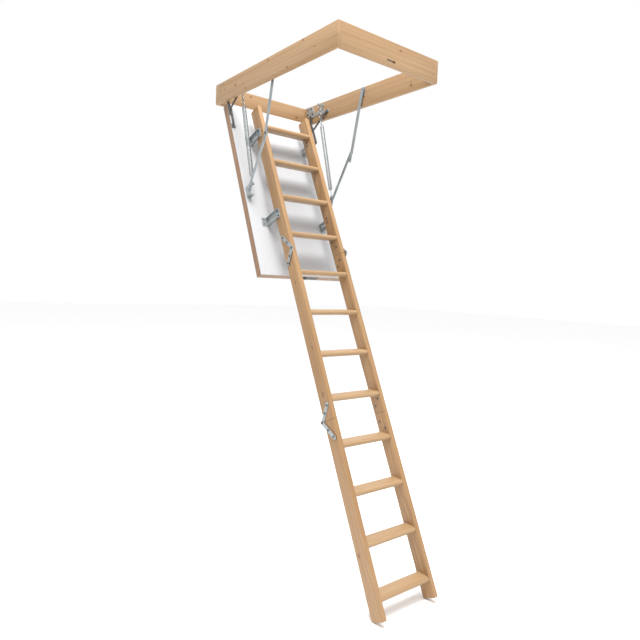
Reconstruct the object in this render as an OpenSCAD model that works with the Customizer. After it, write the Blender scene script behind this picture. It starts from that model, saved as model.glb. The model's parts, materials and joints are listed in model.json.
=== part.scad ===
// Folding wooden attic ladder: opening frame, insulated hatch and three hinged ladder sections,
// drawn unfolded, with the hatch hanging open. +Z is up, X runs across the ladder and +Y points to
// the hinge end. The origin is the centre of the opening in the frame's lower plane, the ceiling.

/* [Opening frame] */
// Length of the frame, along Y
frame_l = 1200; // [1100:10:1440]
// Width of the frame, along X
frame_w = 700; // [580:10:840]
// Height of the frame boards
frame_h = 120; // [100:5:160]
// Thickness of the frame boards
frame_t = 20; // [16:1:26]
// Radius of the holes that take the ceiling fixing screws
fix_hole_r = 3.5; // [2.5:0.5:5]
// Distance between the two fixing holes of a side board
fix_spacing = 690; // [500:10:820]
// Distance of the first fixing hole from the hinge end
fix_from_end = 335; // [320:5:400]

/* [Hatch] */
// Angle that the hatch hangs open, from flat
hatch_open = 66.3; // [60:0.1:72]
// Thickness of the hatch panel
hatch_t = 50; // [40:1:60]
// Thickness of each hatch skin
skin_t = 3; // [2:0.5:5]
// Width of the hatch's wooden edge rails
rail_w = 40; // [30:1:60]
// Gap between the hatch and each end board when shut
end_gap = 4; // [3:0.5:8]
// Gap between the hatch and each side board
side_gap = 11; // [10:0.5:14]
// Height of the point that the hatch turns about, below the ceiling
turn_drop = 28.5; // [20:0.5:36]
// How far that point lies past the hatch's hinge end
turn_past = 6.6; // [4:0.2:10]
// Width of the latch housing
latch_w = 200; // [120:5:260]
// Thickness of the latch housing, in the hatch's thickness
latch_h = 34; // [20:1:36]
// How far the latch bolt stands out, and its travel
latch_out = 12; // [8:1:14]

/* [Ladder] */
// Angle of the unfolded ladder from the floor
lad_angle = 64.3; // [60:0.1:70]
// Outer width of the ladder
lad_w = 392; // [320:2:460]
// Thickness of a stile
stile_t = 28; // [22:1:34]
// Depth of a stile
stile_d = 80; // [66:1:96]
// Distance between treads along the stile
tread_pitch = 245; // [204:1:294]
// Treads in each section
treads = 4; // [4:1:4]
// Thickness of a tread
tread_t = 28; // [23:1:34]
// Depth that a tread's end sits in the stile
housing = 8; // [5:1:12]
// Distance from a section's top to its first tread's nose
tread_first = 140; // [120:1:160]
// How much of the bottom section is cut off to suit the floor
foot_cut = 13; // [0:1:60]
// Distance from the hatch's hinge end to the ladder's top
lad_from_end = 82.5; // [60:0.5:110]
// Height of the ladder's back above the hatch, at the top
lad_off_hatch = 55.4; // [50:0.1:80]

/* [Ladder hinges] */
// Distance of the front knee pin in front of the stiles
knee_front = 5; // [3:0.5:9]
// Distance of the back knee pin behind the stiles
knee_back = 12; // [10:0.5:20]
// Width of a hinge leaf
leaf_w = 22; // [18:1:26]
// Radius of the knee pins
knee_pin_r = 4; // [3:0.5:5]
// Radius of the leaf bolts
bolt_r = 3; // [2.5:0.5:4]

/* [Hatch gear] */
// Thickness of brackets, straps, links and leaves
plate_t = 3; // [2.5:0.5:3.5]
// Thickness of the side arms
arm_t = 4; // [3:0.5:4.5]
// Width of the side arms
arm_w = 22; // [18:1:26]
// Width of the hinge straps and links
link_w = 19; // [16:1:22]
// Radius of the gear's pins
gear_pin_r = 4; // [3:0.5:5]
// Outer radius of the springs
spring_r = 13; // [10:0.5:14]
// Wire radius of the springs
wire_r = 1.6; // [1.2:0.1:2]
// Length of a spring's coiled part
coil_l = 455; // [300:5:470]
// Links in each chain
chain_links = 8; // [8:1:8]
// Wire radius of the chains
chain_r = 1.7; // [1.2:0.1:2]

/* [Standoff brackets] */
// Width of a standoff bracket
off_w = 54; // [44:1:64]
// Distance of the upper standoffs from the hatch's hinge end
off_upper = 255; // [220:1:300]
// Distance of the lower standoffs from the hatch's hinge end
off_lower = 812; // [700:1:880]

/* [Hidden] */
$fn = 48;

// Clearances
fit = 0.08;      // radial, pin in a hole that turns
seat = 0.1;      // around a piece that sits in a housing
rub = 0.3;       // between two plates that slide past each other
proud = 0.4;     // of a screw head above the wood
past = 1;        // of a cutter past the surface it leaves

// Frame
side_x = frame_w / 2 - frame_t;
end_y = frame_l / 2 - frame_t;
fix_y = [frame_l / 2 - fix_from_end, frame_l / 2 - fix_from_end - fix_spacing];
fix_z = 50;
corner_z = [22, frame_h / 2, frame_h - 22];

// Hatch, first lying shut, then turned open about the turning point
hatch_end = end_y - end_gap;
hatch_l = 2 * hatch_end;
hatch_x = side_x - side_gap;
turn = [hatch_end + turn_past, -turn_drop];
function turned(p, a) = [
    turn[0] + (p[0] - turn[0]) * cos(a) - (p[1] - turn[1]) * sin(a),
    turn[1] + (p[0] - turn[0]) * sin(a) + (p[1] - turn[1]) * cos(a)];
// A point v from the hatch's hinge end and n above its attic face, in the plane of Y and Z
function on_hatch(v, n) = turned([hatch_end - v, hatch_t + n], hatch_open);

// Ladder: its own frame has the origin at the top front edge, Z' up the stiles, Y' to the back
lad_back = on_hatch(lad_from_end, lad_off_hatch);
lad_o = lad_back + stile_d * [-sin(lad_angle), cos(lad_angle)];
section_l = treads * tread_pitch;
joint_gap = 1;
stile_in = lad_w / 2 - stile_t;
stile_out = lad_w / 2;
nose_in = 2;
tread_back = (stile_d - nose_in - tread_t / 2 * (1 + cos(lad_angle))) / sin(lad_angle) - 1;
front_knee = [-knee_front, -section_l + joint_gap / 2];
back_knee = [stile_d + knee_back, -2 * section_l + joint_gap / 2];
// Leaf ends from their pin, in Y' and Z'
front_leaf_up = [knee_front + stile_d - 17, 102];
front_leaf_down = [knee_front + stile_d - 17, -72];
back_leaf_up = [-knee_back - stile_d + 18, 82];
back_leaf_down = [-knee_back - stile_d + 20, -94];
leaf_bolts = [0.5, 0.93];
leaf_a = stile_out;
leaf_b = leaf_a + plate_t + rub;
head_t = 3;

// Gear at each side, in the plane of Y and Z
link_pin = [frame_l / 2 - 100, 47];
stay_pin = [frame_l / 2 - 280, 51];
strap_top = on_hatch(6.8, 15.6);
strap_mid = on_hatch(61.5, 23.3);
strap_low = on_hatch(162.6, 24.8);
arm_pin = [frame_l / 2 - 630, frame_h - 14];
arm_foot = on_hatch(625, 38);
arm_way = (arm_foot - arm_pin) / norm(arm_foot - arm_pin);
elbow_down = 378;
elbow_bow = 60;
elbow = arm_pin + elbow_down * arm_way + elbow_bow * [arm_way[1], -arm_way[0]];
arm_tail = 52;
spring_top = [frame_l / 2 - 220, frame_h - 20];
spring_foot = on_hatch(605, 67);
pull = norm(spring_top - spring_foot);
pull_tilt = atan2(spring_top[1] - spring_foot[1], spring_top[0] - spring_foot[0]) - 90;

// Layers across the width, as distances from the middle
bracket_in = side_x - plate_t;
strap_in = hatch_x - plate_t;
link_in = hatch_x + 1;
link_out = link_in + plate_t;
arm_in = bracket_in - 5 - arm_t;
low_arm_in = arm_in - 1.5 - arm_t;
foot_out = low_arm_in - 1.2;
foot_in = foot_out - plate_t;
spring_x = foot_in - 10;
stud_r = 3.5;

// Spring and chain, along the pull from the foot stud
ring_r = stud_r + 2 * wire_r + 2;
coil_from = 45;
coil_to = coil_from + coil_l;
ring_top = coil_to + ring_r - 1;
chain_from = ring_top + ring_r - 2 * wire_r - rub / 2;
chain_to = pull + stud_r + rub / 2;
chain_w = 2 * stud_r + 2 * rub + 2 * chain_r;

module side(s) {
    if (s < 0) mirror([1, 0, 0]) children();
    else children();
}

module both_sides() {
    children();
    mirror([1, 0, 0]) children();
}

// Stands a flat outline in the plane of Y and Z, from x and t thick
module upright(x, t) translate([x, 0, 0]) rotate([90, 0, 90]) linear_extrude(t) children();

module pin(p, x0, x1, r) translate([x0, p[0], p[1]]) rotate([0, 90, 0]) cylinder(h = x1 - x0, r = r);

module bar(p, q, w) {
    translate(p) circle(d = w);
    translate(q) circle(d = w);
    translate(p) rotate(atan2(q[1] - p[1], q[0] - p[0])) translate([0, 0.01 - w / 2])
        square([norm(q - p), w - 0.02]);
}

module hole_at(p, r) translate(p) circle(r = r);

// Turns what is drawn lying shut to the open hatch
module open_hatch() {
    translate([0, turn[0], turn[1]]) rotate([hatch_open, 0, 0]) translate([0, -turn[0], -turn[1]])
        children();
}

module on_ladder() translate([0, lad_o[0], lad_o[1]]) rotate([lad_angle - 90, 0, 0]) children();

// ---- Opening frame ----

// The bracket bolts' heads are sunk, so the side faces lie flat against the joists
sunk_head = 3;

module side_board(s) {
    color("burlywood") side(s) difference() {
        translate([side_x, -frame_l / 2, 0]) cube([frame_t, frame_l, frame_h]);
        for (y = fix_y) pin([y, fix_z], side_x - past, side_x + frame_t + past, fix_hole_r);
        for (p = bracket_bolts) {
            pin(p, side_x - past, side_x + frame_t + past, bolt_r + seat);
            pin(p, side_x + frame_t - sunk_head - seat, side_x + frame_t + past, bolt_r + 2 + seat);
        }
    }
}

module end_board(s) {
    y = s > 0 ? end_y : -end_y - frame_t;
    color("burlywood") difference() {
        translate([-side_x, y, 0]) cube([2 * side_x, frame_t, frame_h]);
        if (s < 0) translate([-keeper_slot_w / 2, y - past, keeper_z - keeper_slot_h / 2])
            cube([keeper_slot_w, frame_t + 2 * past, keeper_slot_h]);
    }
}

keeper_z = hatch_t / 2;
keeper_slot_w = 60;
keeper_slot_h = 12;

module wood_screw(l) {
    translate([0, 0, -l]) cylinder(h = l, r = 2);
    translate([0, 0, -2]) cylinder(h = 2 + proud, r1 = 2.4, r2 = 4);
}

// Countersunk hole for that screw in a plate
module screw_hole() {
    translate([0, 0, -2 * plate_t]) cylinder(h = 2 * plate_t, r = 2 + seat);
    translate([0, 0, -2]) cylinder(h = 2 + proud, r1 = 2.4 + seat, r2 = 4 + seat);
}

module corner_screws() {
    color("dimgray") both_sides() for (e = [-1, 1], z = corner_z)
        translate([side_x + frame_t - 0.6, e * (end_y + frame_t / 2), z]) rotate([0, 90, 0]) wood_screw(50);
}

// Carries the hinge link, the stay link and the spring's chain
bracket_bolts = [[frame_l / 2 - 65, 103], [frame_l / 2 - 97, 103], [frame_l / 2 - 58, 70], [frame_l / 2 - 115, 67]];

module hinge_bracket(s) {
    neck = [stay_pin[0] + 85, link_pin[1] + 12];
    color("silver") side(s) difference() {
        union() {
            upright(bracket_in, plate_t) difference() {
                union() {
                    bar(link_pin, neck, 24);
                    bar(neck, stay_pin, 24);
                    bar(neck, spring_top + [-4, 0], 22);
                    polygon([[frame_l / 2 - 130, 50], [frame_l / 2 - 130, 78], [frame_l / 2 - 112, 114],
                        [frame_l / 2 - 52, 114], [frame_l / 2 - 44, 60], [frame_l / 2 - 90, 40]]);
                }
                for (p = bracket_bolts) hole_at(p, bolt_r + seat);
            }
            for (p = [link_pin, stay_pin]) pin(p, link_out + rub, bracket_in + past, gear_pin_r + 5);
            pin(spring_top, spring_x - 6, bracket_in + past, stud_r);
            pin(spring_top, spring_x - 8, spring_x - 6, stud_r + 2.5);
        }
        for (p = [link_pin, stay_pin]) pin(p, link_out, side_x + past, gear_pin_r);
    }
}

mount_screws = [arm_pin - [0, 18], arm_pin - [0, 34]];

module arm_mounts() {
    color("silver") both_sides() difference() {
        union() {
            translate([bracket_in, arm_pin[0] - 14, arm_pin[1] - 42]) cube([plate_t, 28, 54]);
            pin(arm_pin, arm_in + arm_t + rub, bracket_in + past, gear_pin_r + 5);
        }
        pin(arm_pin, arm_in, side_x + past, gear_pin_r);
        for (p = mount_screws) translate([bracket_in, p[0], p[1]]) rotate([0, -90, 0]) screw_hole();
    }
}

// Pins of the links and arms, the arm mounts' screws and the hinge brackets' bolts
module frame_fixings() {
    color("lightgray") both_sides() {
        for (p = [link_pin, stay_pin]) pin(p, link_in, side_x, gear_pin_r);
        pin(arm_pin, arm_in, side_x, gear_pin_r);
        for (p = mount_screws) translate([bracket_in, p[0], p[1]]) rotate([0, -90, 0]) wood_screw(18);
        for (p = bracket_bolts) {
            pin(p, bracket_in - 1, side_x + frame_t - sunk_head, bolt_r);
            pin(p, bracket_in - 3, bracket_in, bolt_r + 2.5);
            pin(p, side_x + frame_t - sunk_head, side_x + frame_t - 0.5, bolt_r + 2);
        }
    }
}

module latch_keeper() {
    plate = 2;
    color("silver") difference() {
        translate([-keeper_slot_w / 2 - 16, -end_y, keeper_z - keeper_slot_h / 2 - 6])
            cube([keeper_slot_w + 32, plate, keeper_slot_h + 12]);
        translate([-keeper_slot_w / 2, -end_y - past, keeper_z - keeper_slot_h / 2])
            cube([keeper_slot_w, plate + 2 * past, keeper_slot_h]);
    }
}

// ---- Hinge links, stays and side arms ----

module hinge_links() {
    color("dimgray") both_sides() upright(link_in, plate_t) difference() {
        bar(link_pin, strap_top, link_w);
        hole_at(link_pin, gear_pin_r + fit);
        hole_at(strap_top, gear_pin_r + fit);
    }
}

module stay_links() {
    color("dimgray") both_sides() difference() {
        union() {
            upright(link_in, plate_t) bar(stay_pin, strap_mid, link_w - 3);
            pin(strap_mid, link_out - past, link_out + 2, 7);
        }
        pin(stay_pin, link_in - past, link_out + past, gear_pin_r + fit);
    }
}

// The upper arm runs on past the elbow as a slotted stop
module upper_arm(s) {
    way = (elbow - arm_pin) / norm(elbow - arm_pin);
    color("lightslategray") side(s) upright(arm_in, arm_t) difference() {
        union() {
            bar(arm_pin, elbow, arm_w);
            bar(elbow, elbow + arm_tail * way, arm_w - 8);
        }
        hole_at(arm_pin, gear_pin_r + fit);
        hole_at(elbow, gear_pin_r);
        bar(elbow + 20 * way, elbow + (arm_tail - 6) * way, 5);
    }
}

module elbow_rivets() {
    color("lightgray") both_sides() {
        pin(elbow, arm_in, arm_in + arm_t, gear_pin_r);
        pin(elbow, arm_in + arm_t, arm_in + arm_t + 2, 8);
    }
}

module lower_arm(s) {
    color("lightslategray") side(s) difference() {
        union() {
            upright(low_arm_in, arm_t) bar(arm_foot, elbow, arm_w - 2);
            pin(elbow, low_arm_in - 2, low_arm_in + past, 8);
        }
        pin(arm_foot, low_arm_in - past, low_arm_in + arm_t + past, gear_pin_r + fit);
    }
}

// ---- Hatch ----

module hatch_slab(z0, t) {
    translate([-hatch_x, -hatch_end, z0]) cube([2 * hatch_x, hatch_l, t]);
}

module hatch_attic_skin() color("white") open_hatch() hatch_slab(hatch_t - skin_t, skin_t);

module hatch_ceiling_skin() color("white") open_hatch() hatch_slab(0, skin_t);

module hatch_core() {
    color("ivory") open_hatch() translate([-hatch_x + rail_w, -hatch_end + rail_w, skin_t])
        cube([2 * (hatch_x - rail_w), hatch_l - 2 * rail_w, hatch_t - 2 * skin_t]);
}

module hatch_side_rails() {
    color("peru") open_hatch() both_sides() translate([hatch_x - rail_w, -hatch_end, skin_t])
        cube([rail_w, hatch_l, hatch_t - 2 * skin_t]);
}

latch_deep = rail_w - 6;
latch_z = hatch_t / 2 - latch_h / 2;

module hatch_end_rails() {
    color("peru") open_hatch() difference() {
        for (y = [-hatch_end, hatch_end - rail_w]) translate([-hatch_x + rail_w, y, skin_t])
            cube([2 * (hatch_x - rail_w), rail_w, hatch_t - 2 * skin_t]);
        translate([-latch_w / 2 - seat, -hatch_end - past, latch_z - seat])
            cube([latch_w + 2 * seat, latch_deep + past + seat, latch_h + 2 * seat]);
    }
}

bolt_w = 30;
bolt_h = 8;

module latch_housing() {
    color("black") open_hatch() difference() {
        translate([-latch_w / 2, -hatch_end - 0.5, latch_z]) cube([latch_w, latch_deep + 0.5, latch_h]);
        translate([-bolt_w / 2 - rub, -hatch_end - past, hatch_t / 2 - bolt_h / 2 - rub])
            cube([bolt_w + 2 * rub, latch_deep - 4 + past, bolt_h + 2 * rub]);
    }
}

module latch_bolt() {
    len = latch_deep - 5 - latch_out;
    color("silver") open_hatch() difference() {
        translate([-bolt_w / 2, -hatch_end - latch_out, hatch_t / 2 - bolt_h / 2])
            cube([bolt_w, latch_out + len, bolt_h]);
        translate([-bolt_w / 2 - past, -hatch_end - latch_out, hatch_t / 2 - bolt_h / 2]) rotate([30, 0, 0])
            translate([0, -20, 0]) cube([bolt_w + 2 * past, 20, 20]);
    }
}

// Lies along the hatch's edge and stands off it on a web, with a foot on the attic face
strap_screws = [30, 66, 163];

module hinge_strap(s) {
    foot_w = 26;
    color("dimgray") side(s) difference() {
        union() {
            upright(strap_in, plate_t) {
                bar(strap_top, strap_mid, link_w);
                bar(strap_mid, strap_low, link_w);
                polygon([on_hatch(14, 16), on_hatch(70, 24), on_hatch(84, 0), on_hatch(12, 0)]);
                polygon([on_hatch(154, 24), on_hatch(172, 24), on_hatch(176, 0), on_hatch(150, 0)]);
            }
            open_hatch() {
                translate([hatch_x - foot_w, hatch_end - 84, hatch_t]) cube([foot_w, 72, plate_t]);
                translate([hatch_x - foot_w, hatch_end - 176, hatch_t]) cube([foot_w, 26, plate_t]);
            }
        }
        pin(strap_top, strap_in - past, hatch_x + past, gear_pin_r);
        open_hatch() for (v = strap_screws) translate([strap_in - 12, hatch_end - v, hatch_t + plate_t]) screw_hole();
    }
}

foot_screws = [612, 642];

// Carries the lower arm's pin and the spring's stud
module arm_bracket(s) {
    length = 62;
    from = 596;
    color("slategray") side(s) difference() {
        union() {
            upright(foot_in, plate_t) {
                polygon([on_hatch(from, 0), on_hatch(from, 40), on_hatch(from + 4, 67),
                    on_hatch(from + 16, 67), on_hatch(from + length, 40), on_hatch(from + length, 0)]);
                bar(spring_foot, on_hatch(625, 40), 16);
            }
            open_hatch() translate([foot_in - 26, hatch_end - from - length, hatch_t]) {
                cube([26 + plate_t, length, plate_t]);
                cube([26 + plate_t, plate_t, 40]);
                translate([0, length - plate_t, 0]) cube([26 + plate_t, plate_t, 40]);
            }
            pin(spring_foot, spring_x - 6, foot_in + past, stud_r);
            pin(spring_foot, spring_x - 8, spring_x - 6, stud_r + 2.5);
        }
        pin(arm_foot, foot_in - past, foot_out + past, gear_pin_r);
        open_hatch() for (v = foot_screws) translate([foot_in - 13, hatch_end - v, hatch_t + plate_t]) screw_hole();
    }
}

// ---- Springs and chains ----

// Draws along the pull: Z' runs from the foot stud to the top stud
module on_pull() {
    translate([spring_x, spring_foot[0], spring_foot[1]]) rotate([pull_tilt, 0, 0]) children();
}

module ring(z) translate([0, 0, z]) rotate([0, 90, 0]) rotate_extrude() translate([ring_r - wire_r, 0]) circle(r = wire_r, $fn = 16);

module spring(s) {
    ring_low = ring_r - wire_r - stud_r - wire_r - rub;
    color("gray") side(s) on_pull() {
        translate([0, 0, coil_from]) difference() {
            cylinder(h = coil_l, r = spring_r);
            translate([0, 0, 4]) cylinder(h = coil_l - 8, r = spring_r - 2 * wire_r);
        }
        ring(ring_low);
        ring(ring_top);
        translate([0, 0, ring_low + ring_r - 0.5]) cylinder(h = coil_from - ring_low - ring_r + 1, r = wire_r);
    }
}

// One chain link: two straight sides joined by half rings, with its middle at the origin
module chain_link(inner_l) {
    half = inner_l / 2 - chain_w / 2;
    for (e = [-1, 1]) {
        translate([0, e * (chain_w / 2 + chain_r), -half]) cylinder(h = 2 * half, r = chain_r, $fn = 16);
        translate([0, 0, e * half]) rotate([0, 90, 0]) rotate([0, 0, e > 0 ? 90 : -90])
            rotate_extrude(angle = 180) translate([chain_w / 2 + chain_r, 0]) circle(r = chain_r, $fn = 16);
    }
}

module chains() {
    step = (chain_to - chain_from) / chain_links;
    inner_l = step + rub;
    color("gainsboro") both_sides() on_pull() for (i = [0 : chain_links - 1])
        translate([0, 0, chain_from + step * (i + 0.5)]) rotate([0, 0, i % 2 == (chain_links - 1) % 2 ? 0 : 90])
            chain_link(inner_l);
}

// ---- Standoffs that carry the ladder on the hatch ----

// Height above the hatch of the stile's middle, at v from the hinge end
function stile_mid(v) = lad_off_hatch + (v - lad_from_end) * tan(hatch_open - lad_angle) + stile_d * 0.42;
off_bolt_gap = 26;

module off_bolt_places(v) {
    for (d = [-1, 1]) translate([0, hatch_end - v + d * off_bolt_gap / 2, hatch_t + stile_mid(v)]) children();
}

module standoff(v) {
    tall = stile_mid(v) + 16;
    flange = 14;
    y0 = hatch_end - v - off_w / 2;
    difference() {
        translate([stile_out, y0, hatch_t]) union() {
            cube([plate_t, off_w, tall]);
            for (y = [0, off_w - plate_t]) translate([0, y, 0]) cube([flange, plate_t, tall - 6]);
            cube([44, off_w, plate_t]);
        }
        translate([stile_out - past, hatch_end - v - 5, hatch_t + 16]) cube([plate_t + 2 * past, 10, tall - 56]);
        off_bolt_places(v) rotate([0, 90, 0]) translate([0, 0, stile_out - past])
            cylinder(h = plate_t + 2 * past, r = bolt_r + seat);
        standoff_screws(v) screw_hole();
    }
}

module standoff_screws(v) {
    for (d = [-14, 14]) translate([stile_out + 30, hatch_end - v + d, hatch_t + plate_t]) children();
}

module standoffs(v) color("silver") open_hatch() both_sides() standoff(v);

// Screws and pins that hold the gear to the hatch
module hatch_fixings() {
    color("lightgray") both_sides() {
        open_hatch() {
            for (v = [off_upper, off_lower]) standoff_screws(v) wood_screw(18);
            for (v = strap_screws) translate([strap_in - 12, hatch_end - v, hatch_t + plate_t]) wood_screw(18);
            for (v = foot_screws) translate([foot_in - 13, hatch_end - v, hatch_t + plate_t]) wood_screw(18);
        }
        pin(arm_foot, foot_in, low_arm_in + arm_t, gear_pin_r);
        pin(strap_top, strap_in, link_out, gear_pin_r);
        pin(strap_low, hatch_x, hatch_x + 3, 6);
    }
}

// ---- Ladder ----

module tread_shape(extra) {
    circle(d = tread_t + 2 * extra);
    translate([0, -tread_t / 2 - extra]) square([tread_back + extra, tread_t + 2 * extra]);
}

// Tread k counted from the top, in the ladder's frame; longer by reach at each end
module tread_at(k, extra, reach) {
    half = stile_in + housing + reach;
    drop = floor(k / treads) * section_l + tread_first + (k % treads) * tread_pitch;
    translate([0, tread_t / 2 + nose_in, -drop]) rotate([90 - lad_angle, 0, 0])
        upright(-half, 2 * half) tread_shape(extra);
}

module tread(k) color("sandybrown") on_ladder() tread_at(k, 0, 0);

// Places of a leaf's bolts, in Y' and Z'
function leaf_bolt(p, way, share) = p + way * share;

module leaf_bolt_pins(x0, x1, r) {
    for (f = leaf_bolts) {
        pin(leaf_bolt(front_knee, front_leaf_up, f), x0, x1, r);
        pin(leaf_bolt(front_knee, front_leaf_down, f), x0, x1, r);
        pin(leaf_bolt(back_knee, back_leaf_up, f), x0, x1, r);
        pin(leaf_bolt(back_knee, back_leaf_down, f), x0, x1, r);
    }
}

// Section i, counted from the top; the last one is cut to suit the floor
module stile(i, s) {
    l = i == 2 ? section_l - foot_cut : section_l - joint_gap;
    color("burlywood") side(s) difference() {
        on_ladder() difference() {
            translate([stile_in, 0, -i * section_l - l]) cube([stile_t, stile_d, l]);
            for (k = [i * treads : i * treads + treads - 1]) tread_at(k, seat, seat);
            leaf_bolt_pins(stile_in - past, stile_out + past, bolt_r + seat);
            if (i == 1) pin(front_knee, stile_out - rub, stile_out + past, leaf_w * 0.7);
        }
        if (i == 0) open_hatch() for (v = [off_upper, off_lower]) off_bolt_places(v)
            rotate([0, 90, 0]) translate([0, 0, stile_in - past])
                cylinder(h = stile_t + 2 * past, r = bolt_r + seat);
    }
}

module leaf(p, way, x, hole) {
    upright(x, plate_t) difference() {
        bar(p, p + way, leaf_w);
        hole_at(p, hole);
        for (f = leaf_bolts) hole_at(leaf_bolt(p, way, f), bolt_r + seat);
    }
}

module front_knee_top_leaves() {
    color("cadetblue") both_sides() on_ladder() leaf(front_knee, front_leaf_up, leaf_a, knee_pin_r);
}

module front_knee_low_leaves() {
    color("cadetblue") both_sides() on_ladder() leaf(front_knee, front_leaf_down, leaf_b, knee_pin_r + fit);
}

module back_knee_top_leaves() {
    color("cadetblue") both_sides() on_ladder() leaf(back_knee, back_leaf_up, leaf_a, knee_pin_r);
}

module back_knee_low_leaves() {
    color("cadetblue") both_sides() on_ladder() leaf(back_knee, back_leaf_down, leaf_b, knee_pin_r + fit);
}

// Bolt through a stile, with a head on the plate at x and a nut on the inner face
module stile_bolt(p, x) {
    pin(p, stile_in - 1, x, bolt_r);
    pin(p, x, x + head_t, bolt_r + 3);
    pin(p, stile_in - head_t, stile_in, bolt_r + 2.5);
    if (x > leaf_a + plate_t + rub) pin(p, leaf_a, leaf_b, bolt_r + 5);
}

module leaf_stile_bolts(p, way, x) for (f = leaf_bolts) stile_bolt(leaf_bolt(p, way, f), x);

module knee_pin(p) {
    pin(p, leaf_a, leaf_b + plate_t + rub, knee_pin_r);
    pin(p, leaf_b + plate_t + rub, leaf_b + plate_t + rub + 2, knee_pin_r + 3);
}

module upper_bolts() {
    color("slategray") both_sides() {
        on_ladder() {
            leaf_stile_bolts(front_knee, front_leaf_up, leaf_a + plate_t);
            knee_pin(front_knee);
        }
        open_hatch() for (v = [off_upper, off_lower]) off_bolt_places(v) rotate([0, 90, 0]) {
            translate([0, 0, stile_in - 1]) cylinder(h = stile_t + plate_t + 1, r = bolt_r);
            translate([0, 0, stile_out + plate_t]) cylinder(h = head_t, r = bolt_r + 3);
            translate([0, 0, stile_in - head_t]) cylinder(h = head_t, r = bolt_r + 2.5);
        }
    }
}

module middle_bolts() {
    color("slategray") both_sides() on_ladder() {
        leaf_stile_bolts(front_knee, front_leaf_down, leaf_b + plate_t);
        leaf_stile_bolts(back_knee, back_leaf_up, leaf_a + plate_t);
        knee_pin(back_knee);
    }
}

module lower_bolts() {
    color("slategray") both_sides() on_ladder()
        leaf_stile_bolts(back_knee, back_leaf_down, leaf_b + plate_t);
}

side_board(-1);  // side_board_left
side_board(1);  // side_board_right
end_board(1);  // hinge_end_board
end_board(-1);  // latch_end_board
corner_screws();
hinge_bracket(-1);  // hinge_bracket_left
hinge_bracket(1);  // hinge_bracket_right
arm_mounts();
frame_fixings();
latch_keeper();
hinge_links();
stay_links();
upper_arm(-1);  // upper_arm_left
upper_arm(1);  // upper_arm_right
elbow_rivets();
lower_arm(-1);  // lower_arm_left
lower_arm(1);  // lower_arm_right
hatch_attic_skin();
hatch_ceiling_skin();
hatch_core();
hatch_side_rails();
hatch_end_rails();
latch_housing();
latch_bolt();
hinge_strap(-1);  // hinge_strap_left
hinge_strap(1);  // hinge_strap_right
arm_bracket(-1);  // arm_bracket_left
arm_bracket(1);  // arm_bracket_right
spring(-1);  // spring_left
spring(1);  // spring_right
chains();
standoffs(off_upper);  // standoffs_upper
standoffs(off_lower);  // standoffs_lower
hatch_fixings();
stile(0, -1);  // upper_stile_left
stile(0, 1);  // upper_stile_right
stile(1, -1);  // middle_stile_left
stile(1, 1);  // middle_stile_right
stile(2, -1);  // lower_stile_left
stile(2, 1);  // lower_stile_right
tread(0);  // tread_1
tread(1);  // tread_2
tread(2);  // tread_3
tread(3);  // tread_4
tread(4);  // tread_5
tread(5);  // tread_6
tread(6);  // tread_7
tread(7);  // tread_8
tread(8);  // tread_9
tread(9);  // tread_10
tread(10);  // tread_11
tread(11);  // tread_12
front_knee_top_leaves();
front_knee_low_leaves();
back_knee_top_leaves();
back_knee_low_leaves();
upper_bolts();
middle_bolts();
lower_bolts();
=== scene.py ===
"""Attic ladder, open and unfolded: camera, studio and the looks of every piece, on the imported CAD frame."""
import json
import math

import bmesh
import bpy
from mathutils import Matrix, Vector


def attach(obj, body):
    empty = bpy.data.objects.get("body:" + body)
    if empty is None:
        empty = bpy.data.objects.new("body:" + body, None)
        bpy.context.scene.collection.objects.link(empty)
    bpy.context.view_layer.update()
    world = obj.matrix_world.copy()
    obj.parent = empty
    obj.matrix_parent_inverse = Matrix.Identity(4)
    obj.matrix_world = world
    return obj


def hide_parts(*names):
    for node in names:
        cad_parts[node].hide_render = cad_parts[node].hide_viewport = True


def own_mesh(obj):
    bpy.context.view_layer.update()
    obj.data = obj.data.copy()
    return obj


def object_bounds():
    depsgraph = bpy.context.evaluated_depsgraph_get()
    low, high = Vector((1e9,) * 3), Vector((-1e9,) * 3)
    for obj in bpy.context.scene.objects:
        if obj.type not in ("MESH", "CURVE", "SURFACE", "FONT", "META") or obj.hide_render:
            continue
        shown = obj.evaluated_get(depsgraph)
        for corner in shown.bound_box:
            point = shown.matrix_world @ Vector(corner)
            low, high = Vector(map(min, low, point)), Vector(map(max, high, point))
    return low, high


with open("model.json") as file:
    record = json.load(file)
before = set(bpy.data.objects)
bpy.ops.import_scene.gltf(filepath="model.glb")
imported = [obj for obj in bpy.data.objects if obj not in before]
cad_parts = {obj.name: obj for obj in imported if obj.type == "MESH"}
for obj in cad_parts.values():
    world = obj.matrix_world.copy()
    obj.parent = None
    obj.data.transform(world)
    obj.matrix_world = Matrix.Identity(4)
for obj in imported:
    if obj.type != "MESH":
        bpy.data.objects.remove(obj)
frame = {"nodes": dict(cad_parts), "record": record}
cad_lo, cad_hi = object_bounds()
NODES = frame["nodes"]

# ---------------------------------------------------------------- measures from the CAD source, in metres
FRAME_L, FRAME_W, FRAME_H, FRAME_T = 1.2, 0.7, 0.12, 0.02
SIDE_X = FRAME_W / 2 - FRAME_T
END_Y = FRAME_L / 2 - FRAME_T
HATCH_OPEN = math.radians(66.3)
HATCH_END = END_Y - 0.004
HATCH_T = 0.050
TURN = (HATCH_END + 0.0066, -0.0285)
LAD_ANGLE = math.radians(64.3)
STILE_OUT, STILE_T, STILE_D = 0.196, 0.028, 0.080
STILE_IN = STILE_OUT - STILE_T
SECTION_L, PITCH, FIRST = 0.980, 0.245, 0.140
JOINT_GAP, FOOT_CUT = 0.001, 0.013
TREAD_T, NOSE_IN, HOUSING = 0.028, 0.002, 0.008
PLATE = 0.003


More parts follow.
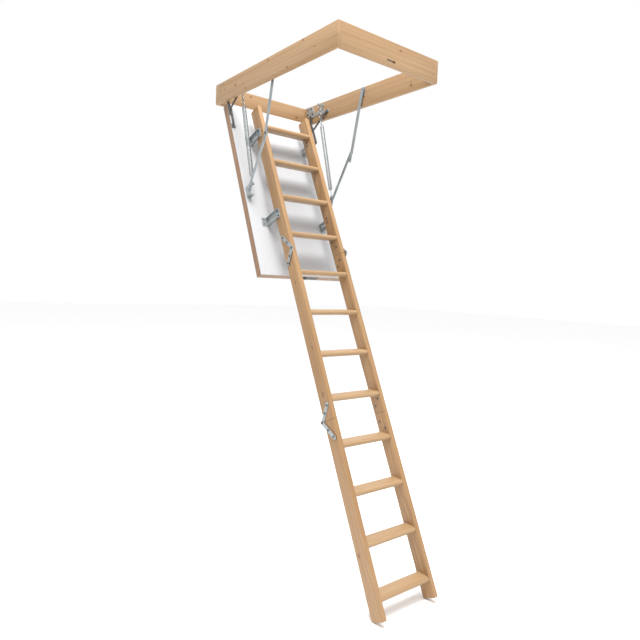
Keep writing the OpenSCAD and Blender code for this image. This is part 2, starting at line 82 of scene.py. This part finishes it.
def turned(y, z):
    """A point of the shut hatch, carried to where it hangs open."""
    dy, dz = y - TURN[0], z - TURN[1]
    c, s = math.cos(HATCH_OPEN), math.sin(HATCH_OPEN)
    return TURN[0] + dy * c - dz * s, TURN[1] + dy * s + dz * c


def on_hatch(v, n):
    """v from the hatch's hinge end and n above its attic face."""
    return turned(HATCH_END - v, HATCH_T + n)


BACK = on_hatch(0.0825, 0.0554)
LAD_O = (BACK[0] - STILE_D * math.sin(LAD_ANGLE), BACK[1] + STILE_D * math.cos(LAD_ANGLE))
LADDER = Matrix.Translation((0, *LAD_O)) @ Matrix.Rotation(LAD_ANGLE - math.pi / 2, 4, "X")


# ---------------------------------------------------------------- node helpers
class Nodes:
    """A short way to write shader nodes."""

    def __init__(self, name):
        self.mat = bpy.data.materials.new(name)
        self.mat.use_nodes = True
        self.tree = self.mat.node_tree
        self.tree.nodes.clear()
        self.out = self.add("ShaderNodeOutputMaterial")
        self.bsdf = self.add("ShaderNodeBsdfPrincipled")
        self.tree.links.new(self.bsdf.outputs[0], self.out.inputs[0])

    def add(self, kind, **sets):
        node = self.tree.nodes.new(kind)
        for k, v in sets.items():
            setattr(node, k, v)
        return node

    def put(self, socket, value):
        if hasattr(value, "is_output"):
            self.tree.links.new(value, socket)
        else:
            socket.default_value = value

    def point(self):
        return self.add("ShaderNodeTexCoord").outputs["Object"]

    def math(self, op, a, b=0.0, clamp=False):
        n = self.add("ShaderNodeMath", operation=op, use_clamp=clamp)
        self.put(n.inputs[0], a)
        self.put(n.inputs[1], b)
        return n.outputs[0]

    def vec(self, op, a, b=(0, 0, 0)):
        n = self.add("ShaderNodeVectorMath", operation=op)
        self.put(n.inputs[0], a)
        self.put(n.inputs[1], b)
        return n.outputs["Value"] if op in ("LENGTH", "DISTANCE") else n.outputs[0]

    def scaled(self, p, x, y, z):
        return self.vec("MULTIPLY", p, (x, y, z))

    def noise(self, p, scale, detail=2.0, rough=0.5):
        n = self.add("ShaderNodeTexNoise")
        self.put(n.inputs["Vector"], p)
        n.inputs["Scale"].default_value = scale
        n.inputs["Detail"].default_value = detail
        n.inputs["Roughness"].default_value = rough
        return n.outputs["Fac"]

    def cells(self, p, scale):
        n = self.add("ShaderNodeTexVoronoi")
        self.put(n.inputs["Vector"], p)
        n.inputs["Scale"].default_value = scale
        return n.outputs["Color"]

    def ramp(self, fac, *stops):
        n = self.add("ShaderNodeValToRGB")
        e = n.color_ramp.elements
        while len(e) < len(stops):
            e.new(0.5)
        for el, (pos, col) in zip(e, stops):
            el.position = pos
            el.color = (*col, 1) if hasattr(col, "__len__") else (col, col, col, 1)
        self.put(n.inputs[0], fac)
        return n.outputs[0]

    def remap(self, v, a, b, c, d, smooth=False):
        n = self.add("ShaderNodeMapRange", interpolation_type="SMOOTHSTEP" if smooth else "LINEAR")
        self.put(n.inputs[0], v)
        for i, x in enumerate((a, b, c, d)):
            n.inputs[i + 1].default_value = x
        return n.outputs[0]

    def mix(self, fac, a, b, kind="MIX"):
        n = self.add("ShaderNodeMix", data_type="RGBA", blend_type=kind)
        self.put(n.inputs[0], fac)
        self.put(n.inputs[6], (*a, 1) if isinstance(a, tuple) else a)
        self.put(n.inputs[7], (*b, 1) if isinstance(b, tuple) else b)
        return n.outputs[2]

    def bump(self, height, depth, strength=1.0):
        n = self.add("ShaderNodeBump")
        n.inputs["Strength"].default_value = strength
        n.inputs["Distance"].default_value = depth
        self.put(n.inputs["Height"], height)
        self.tree.links.new(n.outputs[0], self.bsdf.inputs["Normal"])

    def shade(self, color, rough, metal=0.0):
        self.put(self.bsdf.inputs["Base Color"], color)
        self.put(self.bsdf.inputs["Roughness"], rough)
        self.bsdf.inputs["Metallic"].default_value = metal
        return self.mat


def pine(name, light, dark, late, knots=(), rough=0.45, figure=0.42):
    """Planed pine whose grain runs along the piece's own Z. Each knot is (middle, scale per axis)."""
    n = Nodes(name)
    p = n.point()
    near = 99.0
    for mid, per in knots:
        f = n.vec("LENGTH", n.vec("MULTIPLY", n.vec("SUBTRACT", p, mid), per))
        near = f if near == 99.0 else n.math("MINIMUM", near, f)
    # growth rings about a slanting, slightly wavering pith line outside the board
    slow = n.noise(n.scaled(p, 2, 2, 0.7), 1.0, 2, 0.5)
    waver = n.noise(n.scaled(p, 10, 10, 1.6), 1.0, 2, 0.5)
    sep = n.add("ShaderNodeSeparateXYZ")
    n.put(sep.inputs[0], p)
    x, y, z = sep.outputs
    a = n.math("ADD", x, n.remap(slow, 0.3, 0.7, -0.030, 0.030))
    b = n.math("ADD", y, n.remap(waver, 0.3, 0.7, -0.0025, 0.0025))
    ring = n.add("ShaderNodeCombineXYZ")
    n.put(ring.inputs[0], n.math("ADD", a, 0.058))
    n.put(ring.inputs[1], n.math("ADD", b, 0.022))
    r = n.vec("LENGTH", ring.outputs[0])
    if knots:
        push = n.remap(near, 0.6, 2.4, 0.004, 0.0, True)
        r = n.math("ADD", r, push)
    saw = n.math("FRACT", n.math("MULTIPLY", r, 1 / 0.0062))
    band = n.ramp(saw, (0.0, 0.0), (0.50, 0.15), (0.82, 1.0), (0.95, 0.85), (1.0, 0.0))
    tone = n.noise(n.scaled(p, 9, 9, 0.8), 1.0, 3, 0.6)
    base = n.ramp(tone, (0.30, light), (0.72, dark))
    col = n.mix(n.math("MULTIPLY", band, figure), base, late)
    streak = n.noise(n.scaled(p, 70, 70, 1.1), 1.0, 3, 0.6)
    col = n.mix(n.remap(streak, 0.42, 0.68, 0.0, 0.42), col, late)
    fibre = n.noise(n.scaled(p, 900, 900, 8), 1.0, 3, 0.6)
    col = n.mix(n.remap(fibre, 0.35, 0.75, 0.0, 0.22), col, late)
    pores = n.noise(n.scaled(p, 2600, 2600, 40), 1.0, 1, 0.5)
    col = n.mix(n.remap(pores, 0.62, 0.8, 0.0, 0.18), col, (late[0] * 0.55, late[1] * 0.5, late[2] * 0.45))
    if knots:
        halo = n.remap(near, 0.9, 1.7, 0.40, 0.0, True)
        col = n.mix(halo, col, (late[0] * 0.9, late[1] * 0.78, late[2] * 0.65))
        rings = n.math("FRACT", n.math("MULTIPLY", near, 3.2))
        heart = n.mix(n.remap(rings, 0.0, 1.0, 0.0, 0.6), (0.24, 0.105, 0.042), (0.12, 0.045, 0.018))
        col = n.mix(n.remap(near, 0.80, 1.05, 1.0, 0.0, True), col, heart)
        rim_in = n.remap(near, 0.78, 0.94, 0.0, 1.0, True)
        rim_out = n.remap(near, 0.94, 1.1, 1.0, 0.0, True)
        rim = n.math("MULTIPLY", rim_in, rim_out)
        col = n.mix(n.math("MULTIPLY", rim, 0.55), col, (0.07, 0.028, 0.012))
    n.bump(n.math("ADD", n.math("MULTIPLY", fibre, 0.5), band), 0.00009, 0.5)
    gloss = n.remap(fibre, 0.3, 0.8, rough - 0.04, rough + 0.10)
    mat = n.shade(col, gloss)
    n.bsdf.inputs["Coat Weight"].default_value = 0.08
    n.bsdf.inputs["Coat Roughness"].default_value = 0.35
    return mat


def metal(name, color, dark, rough, spangle=0.5, metallic=0.85, streak=(60, 60, 60)):
    """Zinc coated steel: crystal flakes, faint streaks and dull patches."""
    n = Nodes(name)
    p = n.point()
    flake = n.add("ShaderNodeSeparateColor")
    n.put(flake.inputs[0], n.cells(p, 260))
    cloud = n.noise(n.scaled(p, *streak), 1.0, 4, 0.6)
    flakes = n.math("MULTIPLY", flake.outputs[0], spangle * 0.5)
    fac = n.math("ADD", flakes, n.remap(cloud, 0.35, 0.7, 0.0, 0.5), True)
    col = n.mix(fac, color, dark)
    fine = n.noise(p, 1400, 2, 0.6)
    n.bump(fine, 0.00008, 0.35)
    return n.shade(col, n.remap(cloud, 0.3, 0.75, rough - 0.08, rough + 0.14), metallic)


def board_face(name, color, dark, rough=0.55):
    """White faced hardboard: faint orange peel, slight smears."""
    n = Nodes(name)
    p = n.point()
    smear = n.noise(n.scaled(p, 2.5, 2.5, 2.5), 1.0, 4, 0.6)
    fine = n.noise(p, 420, 2, 0.5)
    col = n.mix(n.remap(smear, 0.35, 0.72, 0.0, 1.0), color, dark)
    n.bump(fine, 0.00012, 0.4)
    return n.shade(col, n.remap(fine, 0.3, 0.7, rough - 0.06, rough + 0.08))


def plain(name, color, dark, scale, rough, depth=0.0001):
    """Moulded plastic or foam: speckle and a fine texture."""
    n = Nodes(name)
    p = n.point()
    speck = n.noise(p, scale, 3, 0.6)
    n.bump(speck, depth, 0.5)
    return n.shade(n.mix(n.remap(speck, 0.3, 0.7, 0.0, 1.0), color, dark), rough)


# ---------------------------------------------------------------- mesh helpers
def piece(name, bm, mat, matrix=None, body=None, smooth=True):
    me = bpy.data.meshes.new(name)
    bm.normal_update()
    bm.to_mesh(me)
    bm.free()
    ob = bpy.data.objects.new(name, me)
    bpy.context.scene.collection.objects.link(ob)
    if matrix is not None:
        ob.matrix_world = matrix
    me.materials.append(mat)
    if smooth:
        me.shade_smooth()
        me.set_sharp_from_angle(angle=math.radians(32))
    if body:
        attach(ob, body)
    return ob


def block(lo, hi, round_r, segments=2):
    """A box with eased edges."""
    bm = bmesh.new()
    bmesh.ops.create_cube(bm, size=1)
    for v in bm.verts:
        v.co = Vector([lo[i] if v.co[i] < 0 else hi[i] for i in range(3)])
    bmesh.ops.bevel(bm, geom=bm.edges[:] + bm.verts[:], offset=round_r, segments=segments, profile=0.6,
                    affect="EDGES")
    return bm


def prism(outline, x0, x1, round_r=0.0):
    """An outline in Y and Z, from x0 to x1, with its end edges eased."""
    bm = bmesh.new()
    low = [bm.verts.new((x0, y, z)) for y, z in outline]
    high = [bm.verts.new((x1, y, z)) for y, z in outline]
    bm.faces.new(low[::-1])
    bm.faces.new(high)
    n = len(outline)
    for i in range(n):
        bm.faces.new((low[i], low[(i + 1) % n], high[(i + 1) % n], high[i]))
    bmesh.ops.recalc_face_normals(bm, faces=bm.faces[:])
    if round_r:
        ends = [e for e in bm.edges if len(set(round(v.co.x, 6) for v in e.verts)) == 1]
        bmesh.ops.bevel(bm, geom=ends, offset=round_r, segments=2, profile=0.6, affect="EDGES")
    return bm


def tube(bm, path, radius, sides=8, closed=False):
    """Sweeps a round wire along a path of points."""
    pts = [Vector(p) for p in path]
    count = len(pts)
    tangent = []
    for i in range(count):
        a = pts[(i - 1) % count] if closed or i else pts[0]
        b = pts[(i + 1) % count] if closed or i < count - 1 else pts[-1]
        tangent.append((b - a).normalized())
    side = tangent[0].orthogonal().normalized()
    rings = []
    for i in range(count):
        side = (side - tangent[i] * side.dot(tangent[i])).normalized()
        other = tangent[i].cross(side)
        rings.append([
            bm.verts.new(pts[i] + (side * math.cos(k) + other * math.sin(k)) * radius)
            for k in (2 * math.pi * j / sides for j in range(sides))
        ])
    spans = count if closed else count - 1
    for i in range(spans):
        a, b = rings[i], rings[(i + 1) % count]
        shift = 0
        if closed and i == count - 1:
            shift = min(range(sides), key=lambda k: (a[0].co - b[k].co).length)
        for j in range(sides):
            bm.faces.new((a[j], a[(j + 1) % sides], b[(j + 1 + shift) % sides], b[(j + shift) % sides]))
    if not closed:
        bm.faces.new(rings[0][::-1])
        bm.faces.new(rings[-1])
    return bm


# ---------------------------------------------------------------- materials


def knot(x, y, z, rt, rl, through="x"):
    """A knot of radius rt across and rl along the grain, running through the board along one axis."""
    s = {"x": (0.0, 1 / rt, 1 / rl), "y": (1 / rt, 0.0, 1 / rl)}[through]
    return ((x, y, z), s)


def stile_z(u):
    """Height up the ladder from its foot, as the ladder's own Z."""
    return u - 2.927


STEP = 5.0  # each piece takes its wood from another stretch of the same log
# stile order: upper left, upper right, middle left, middle right, lower left, lower right
STILE_KNOTS = [
    knot(0, 0.038, stile_z(1.106) + 2 * STEP, 0.0085, 0.013),
    knot(0, 0.031, stile_z(1.363) + 2 * STEP, 0.0060, 0.009),
    knot(0, 0.044, stile_z(1.752) + 2 * STEP, 0.0060, 0.008),
    knot(0, 0.058, stile_z(0.299) + 4 * STEP, 0.0075, 0.010),
    knot(0, 0.064, stile_z(0.374) + 5 * STEP, 0.0080, 0.011),
]
# board order: left, right, hinge end, latch end; own X through the board, Y its height, Z its length
BOARD_KNOTS = [
    knot(0, 0.105, -0.002, 0.0055, 0.007),
    knot(0, 0.017, -0.190, 0.0050, 0.007),
    knot(0, 0.112, -0.323, 0.0050, 0.007),
    knot(0, 0.015, 0.234, 0.0060, 0.007),
    knot(0, 0.061, 0.353, 0.0080, 0.010),
    knot(0, 0.033, -0.427 + STEP, 0.0065, 0.010),
    knot(0, 0.101, -0.108 + 2 * STEP, 0.0055, 0.008),
    knot(0, 0.046, 0.260 + 2 * STEP, 0.0075, 0.010),
    knot(0, 0.092, 0.062 + 3 * STEP, 0.0055, 0.008),
]
M_STILE = pine("pine_stile", (0.37, 0.228, 0.108), (0.29, 0.165, 0.068), (0.19, 0.088, 0.028), STILE_KNOTS)
M_TREAD = pine("pine_tread", (0.40, 0.268, 0.148), (0.33, 0.208, 0.104), (0.22, 0.115, 0.042), figure=0.3)
M_BOARD = pine("pine_board", (0.395, 0.255, 0.138), (0.325, 0.200, 0.096), (0.215, 0.112, 0.043), BOARD_KNOTS)
M_RAIL = pine("edge_rail_wood", (0.29, 0.172, 0.095), (0.23, 0.130, 0.070), (0.145, 0.075, 0.038))
M_ZINC = metal("zinc_steel", (0.40, 0.43, 0.435), (0.24, 0.265, 0.27), 0.42, 0.5, 0.75)
M_ARM = metal("arm_steel", (0.36, 0.40, 0.415), (0.22, 0.255, 0.275), 0.42, 0.30, 0.75, (40, 14, 14))
# painted shade: the hinge links and straps are the bracket's galvanised steel, given this near-black tone for
# the shade they hang in under the frame
M_SHADED_DARK_STEEL = metal("dark_steel", (0.11, 0.105, 0.10), (0.065, 0.062, 0.058), 0.45, 0.3, 0.5)
M_BOLT = metal("bolt_steel", (0.13, 0.125, 0.115), (0.07, 0.067, 0.062), 0.38, 0.2, 0.7)
M_WIRE = metal("spring_wire", (0.26, 0.28, 0.285), (0.14, 0.15, 0.155), 0.30, 0.15, 0.85)
M_WHITE = board_face("white_face", (0.44, 0.445, 0.455), (0.41, 0.415, 0.427))
M_FOAM = plain("insulation_foam", (0.86, 0.85, 0.78), (0.78, 0.77, 0.69), 380, 0.8, 0.0006)
M_BLACK = plain("black_plastic", (0.018, 0.018, 0.019), (0.035, 0.035, 0.036), 900, 0.42)
SLOT_MATS = {
    "frame_wood": M_BOARD, "stile_wood": M_STILE, "tread_wood": M_TREAD, "rail_wood": M_RAIL,
    "white_board": M_WHITE, "insulation": M_FOAM, "black_plastic": M_BLACK, "dark_steel": M_SHADED_DARK_STEEL,
    "arm_steel": M_ARM, "fixing_steel": M_BOLT, "zinc_steel": M_ZINC, "spring_steel": M_WIRE,
}
slot_of = {s["node"]: s["material_slot"] for s in frame["record"]["subparts"]}
for name, ob in NODES.items():
    ob.data.materials.clear()
    ob.data.materials.append(SLOT_MATS[slot_of[name]])


# ---------------------------------------------------------------- frame boards
def cutters(cuts, off):
    """Round and square holes as one mesh. Each cut is (kind, place, size)."""
    cut = bmesh.new()
    for kind, at, size in cuts:
        if kind == "round":
            radius, depth = size
            made = bmesh.ops.create_cone(cut, cap_ends=True, segments=24, radius1=radius, radius2=radius,
                                         depth=depth)
            spin = Matrix.Rotation(math.pi / 2, 4, "Y")
        else:
            made = bmesh.ops.create_cube(cut, size=1)
            spin = Matrix.Diagonal((*size, 1))
        put = Matrix.Translation(Vector(at) + Vector((0, 0, off))) @ spin
        bmesh.ops.transform(cut, matrix=put, verts=made["verts"])
    return cut


def carve(bm, cuts, off):
    """Cuts the holes out of the mesh, in place."""
    cut = cutters(cuts, off)
    meshes = [bpy.data.meshes.new(word) for word in ("blank", "cut")]
    bm.normal_update()
    bm.to_mesh(meshes[0])
    cut.to_mesh(meshes[1])
    cut.free()
    blank, tool = [bpy.data.objects.new(me.name, me) for me in meshes]
    for o in (blank, tool):
        bpy.context.scene.collection.objects.link(o)
    mod = blank.modifiers.new("cut", "BOOLEAN")
    mod.operation, mod.solver, mod.object = "DIFFERENCE", "EXACT", tool
    bpy.context.view_layer.update()
    done = bpy.data.meshes.new_from_object(blank.evaluated_get(bpy.context.evaluated_depsgraph_get()))
    bm.clear()
    bm.from_mesh(done)
    for o in (blank, tool):
        bpy.data.objects.remove(o)
    for me in (*meshes, done):
        bpy.data.meshes.remove(me)


def board(name, index, axis, place, lo, hi, cuts=()):
    """A frame board: own X through it, own Y up, own Z along it."""
    turn = Matrix(((1, 0, 0, 0), (0, 0, 1, 0), (0, 1, 0, 0), (0, 0, 0, 1))) if axis == "Y" else Matrix(
        ((0, 0, 1, 0), (1, 0, 0, 0), (0, 1, 0, 0), (0, 0, 0, 1)))
    off = index * STEP
    bm = block((lo[0], lo[1], lo[2] + off), (hi[0], hi[1], hi[2] + off), 0.0012)
    m = Matrix.Translation(place) @ turn @ Matrix.Translation((0, 0, -off))
    if cuts:
        carve(bm, cuts, off)
    ob = piece(name + "_wood", bm, M_BOARD, m, "frame")
    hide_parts(name)
    return ob


half_t = FRAME_T / 2
FIXING_Y = (0.265, -0.425)
BRACKET_BOLTS = ((0.535, 0.103), (0.503, 0.103), (0.542, 0.070), (0.485, 0.067))
BOLT_R, SUNK_HEAD = 0.003, 0.003
for side, index in ((-1, 0), (1, 1)):
    nm = "side_board_left" if side < 0 else "side_board_right"
    holes = [("round", (0, 0.050, y), (0.0035, 0.03)) for y in FIXING_Y]
    holes += [("round", (side * half_t, z, y), (BOLT_R + 0.00203, 2 * SUNK_HEAD)) for y, z in BRACKET_BOLTS]
    board(nm, index, "Y", (side * (SIDE_X + half_t), 0, 0),
          (-half_t, 0, -FRAME_L / 2), (half_t, FRAME_H, FRAME_L / 2), holes)
for side, index in ((1, 2), (-1, 3)):
    nm = "hinge_end_board" if side > 0 else "latch_end_board"
    slot = [] if side > 0 else [("square", (0, HATCH_T / 2, 0), (0.03, 0.012, 0.060))]
    board(nm, index, "X", (0, side * (END_Y + half_t), 0),
          (-half_t, 0, -SIDE_X), (half_t, FRAME_H, SIDE_X), slot)


# ---------------------------------------------------------------- ladder wood
def ladder_space(index):
    return LADDER @ Matrix.Translation((0, 0, -index * STEP))


BODIES = ("hatch", "section_2", "section_3")
for i, (part, body) in enumerate(zip(("upper", "middle", "lower"), BODIES)):
    length = SECTION_L - (FOOT_CUT if i == 2 else JOINT_GAP)
    for s, word in ((-1, "left"), (1, "right")):
        index = 2 * i + (s > 0)
        top = -i * SECTION_L + index * STEP
        x0, x1 = sorted((s * STILE_IN, s * STILE_OUT))
        ob = piece(f"{part}_stile_{word}_wood", block((x0, 0, top - length), (x1, STILE_D, top), 0.0018, 3),
                   M_STILE, ladder_space(index), body)
        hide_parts(f"{part}_stile_{word}")

tread_back = (STILE_D - NOSE_IN - TREAD_T / 2 * (1 + math.cos(LAD_ANGLE))) / math.sin(LAD_ANGLE) - 0.001


def tread_outline():
    r, ease = TREAD_T / 2, 0.002
    pts = [(r * math.cos(a), r * math.sin(a)) for a in (math.pi / 2 + math.pi * k / 14 for k in range(15))]
    for cy, cz, start in ((tread_back - ease, -r + ease, -math.pi / 2), (tread_back - ease, r - ease, 0)):
        turns = [start + q * math.pi / 6 for q in range(4)]
        pts += [(cy + ease * math.cos(a), cz + ease * math.sin(a)) for a in turns]
    return pts


for k in range(12):
    drop = (k // 4) * SECTION_L + FIRST + (k % 4) * PITCH
    half = STILE_IN + HOUSING
    bm = prism(tread_outline(), -half, half)
    # own Z along the grain, which runs across the ladder
    grain = Matrix(((0, 0, 1, 0), (0, 1, 0, 0), (-1, 0, 0, 0), (0, 0, 0, 1)))
    off = k * STEP
    bm.transform(Matrix.Translation((0, 0, off)) @ grain.inverted())
    level = Matrix.Rotation(math.pi / 2 - LAD_ANGLE, 4, "X")
    m = LADDER @ Matrix.Translation((0, TREAD_T / 2 + NOSE_IN, -drop)) @ level
    m = m @ grain @ Matrix.Translation((0, 0, -off))
    ob = piece(f"tread_{k + 1}_wood", bm, M_TREAD, m, BODIES[k // 4])
    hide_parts(f"tread_{k + 1}")

# ---------------------------------------------------------------- springs
STUD_R, WIRE, SPRING_R = 0.0035, 0.0016, 0.013
spring_top = (FRAME_L / 2 - 0.220, FRAME_H - 0.020)
spring_foot = on_hatch(0.605, 0.067)
tilt = math.atan2(spring_top[1] - spring_foot[1], spring_top[0] - spring_foot[0]) - math.pi / 2
BRACKET_IN = SIDE_X - PLATE
LOW_ARM_IN = BRACKET_IN - 0.005 - 0.004 - 0.0015 - 0.004
FOOT_IN = LOW_ARM_IN - 0.0012 - PLATE
spring_x = FOOT_IN - 0.010
RING_R = STUD_R + 2 * WIRE + 0.002
COIL_FROM, COIL_TO = 0.045, 0.500


def spring_path():
    """From the ring round the foot stud, up the coil, to the ring that takes the chain."""
    mid = RING_R - WIRE
    low, top = RING_R - 2 * WIRE - STUD_R - 0.0003, COIL_TO + RING_R - 0.001
    pts = []
    for k in range(27):  # the foot ring, open for the stud, ending on the axis above it
        a = math.radians(110 + 350 * k / 26 - 10)
        pts.append((0, mid * math.cos(a), low + mid * math.sin(a)))
    pts += [(0, 0, low + mid + 0.004), (0, 0, COIL_FROM - 0.014)]
    turns, coil_r = 66, SPRING_R - WIRE
    steps = turns * 16
    for k in range(steps + 1):
        a = 2 * math.pi * k / 16
        grow = min(1.0, k / 12, (steps - k) / 12)
        grow = grow * grow * (3 - 2 * grow)
        z = COIL_FROM + (COIL_TO - COIL_FROM) * k / steps
        pts.append((coil_r * grow * math.sin(a), coil_r * grow * math.cos(a), z))
    for k in range(27):
        a = math.radians(-90 + 345 * k / 26)
        pts.append((0, mid * math.cos(a), top + mid * math.sin(a)))
    return pts


for s, word in ((-1, "left"), (1, "right")):
    bm = tube(bmesh.new(), spring_path(), WIRE, 7)
    m = Matrix.Translation((s * spring_x, *spring_foot)) @ Matrix.Rotation(tilt, 4, "X")
    ob = piece(f"spring_{word}_coil", bm, M_WIRE, m, "spring_sets")
    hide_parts(f"spring_{word}")
    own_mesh(ob)

# ---------------------------------------------------------------- camera, floor and light
yaw, pitch, roll, focal = 0.665726534, -0.063652708, 0.039750533, 557.477752
fwd = Vector((math.sin(yaw) * math.cos(pitch), math.cos(yaw) * math.cos(pitch), math.sin(pitch)))
right = fwd.cross(Vector((0, 0, 1))).normalized()
up = right.cross(fwd)
right, up = right * math.cos(roll) + up * math.sin(roll), up * math.cos(roll) - right * math.sin(roll)
cam = bpy.data.objects.new("camera", bpy.data.cameras.new("camera"))
bpy.context.scene.collection.objects.link(cam)
cam.matrix_world = Matrix((
    (right.x, up.x, -fwd.x, -2.010072),
    (right.y, up.y, -fwd.y, -2.665483),
    (right.z, up.z, -fwd.z, -1.102457),
    (0, 0, 0, 1),
))
cam.data.sensor_width = 36
cam.data.lens = focal / 640 * 36
cam.data.clip_start, cam.data.clip_end = 0.05, 200
bpy.context.scene.camera = cam

floor_mat = plain("floor_paper", (0.97, 0.97, 0.97), (0.955, 0.955, 0.955), 3, 0.9)
bm = bmesh.new()
bmesh.ops.create_grid(bm, x_segments=1, y_segments=1, size=30)
floor = piece("floor", bm, floor_mat, Matrix.Translation((0, 0, cad_lo.z - 0.0005)), smooth=False)

world = bpy.data.worlds.new("studio")
bpy.context.scene.world = world
world.use_nodes = True
world.node_tree.nodes["Background"].inputs[0].default_value = (1.0, 1.0, 1.0, 1)
world.node_tree.nodes["Background"].inputs[1].default_value = 1.0


def softbox(name, place, aim, size, power, color=(1, 1, 1)):
    data = bpy.data.lights.new(name, "AREA")
    data.shape, data.size, data.energy, data.color = "SQUARE", size, power, color
    ob = bpy.data.objects.new(name, data)
    bpy.context.scene.collection.objects.link(ob)
    ob.location = place
    ob.rotation_mode = "QUATERNION"
    ob.rotation_quaternion = (Vector(aim) - Vector(place)).to_track_quat("-Z", "Y")


softbox("key", (-1.0, -1.7, 4.3), (0, -0.6, -1.2), 3.0, 640)

scene = bpy.context.scene
scene.view_settings.view_transform = "Standard"
scene.view_settings.look = "None"
